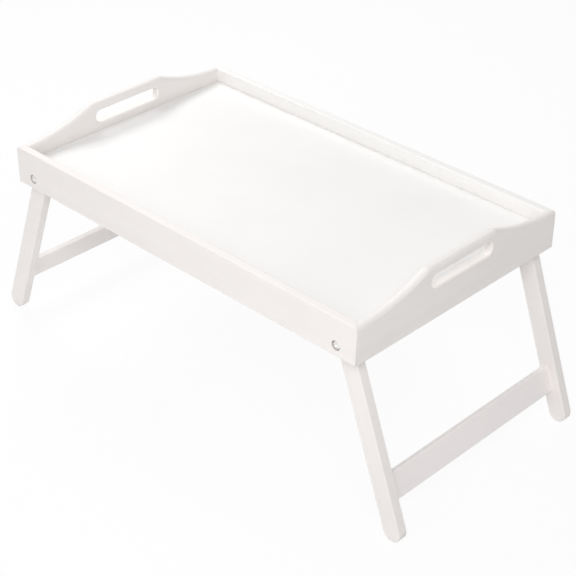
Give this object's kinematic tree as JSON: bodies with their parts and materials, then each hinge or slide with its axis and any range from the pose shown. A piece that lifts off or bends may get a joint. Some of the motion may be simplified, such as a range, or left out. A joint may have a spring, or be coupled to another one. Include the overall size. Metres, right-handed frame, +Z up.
{
  "type": "folding tray table",
  "caption": "Low bed tray with raised end handles and grooved-in panel, standing on splayed leg frames that fold flat beneath it.",
  "frame": {"origin": "on the floor, under the middle of the tray", "axes": "+X along the tray towards the right end board, +Y towards the rear rail, +Z up"},
  "size_m": [0.6094, 0.303, 0.2522],
  "materials": {
    "painted_wood": "solid pale paint, satin, faint grain showing through",
    "painted_board": "thin board, smooth satin paint",
    "dowel_beech": "bare turned wood, hidden in the joint",
    "zinc_plated_steel": "bright zinc plate",
    "nylon": "natural, moulded",
    "nail_steel": "plain rolled strip"
  },
  "bodies": {
    "tray": {"front_rail": "painted_wood", "rear_rail": "painted_wood", "left_end_board": "painted_wood", "right_end_board": "painted_wood", "base_panel": "painted_board", "left_pivot_screws": "zinc_plated_steel", "left_spacer_washers": "zinc_plated_steel", "left_nut_washers": "zinc_plated_steel", "left_lock_nuts": "zinc_plated_steel", "left_nut_inserts": "nylon", "left_corner_nails": "nail_steel", "right_pivot_screws": "zinc_plated_steel", "right_spacer_washers": "zinc_plated_steel", "right_nut_washers": "zinc_plated_steel", "right_lock_nuts": "zinc_plated_steel", "right_nut_inserts": "nylon", "right_corner_nails": "nail_steel"},
    "left_leg_frame": {"left_front_leg": "painted_wood", "left_rear_leg": "painted_wood", "left_stretcher": "painted_wood", "left_dowels": "dowel_beech"},
    "right_leg_frame": {"right_front_leg": "painted_wood", "right_rear_leg": "painted_wood", "right_stretcher": "painted_wood", "right_dowels": "dowel_beech"}
  },
  "joints": [
    {"name": "left_leg_fold", "type": "hinge", "parent": "tray", "child": "left_leg_frame", "pos_m": [-0.22444, 0, 0.2022], "axis": [0, -1, 0], "range_deg": [0, 110.3]},
    {"name": "right_leg_fold", "type": "hinge", "parent": "tray", "child": "right_leg_frame", "pos_m": [0.22444, 0, 0.2022], "axis": [0, 1, 0], "range_deg": [0, 110.3]}
  ]
}
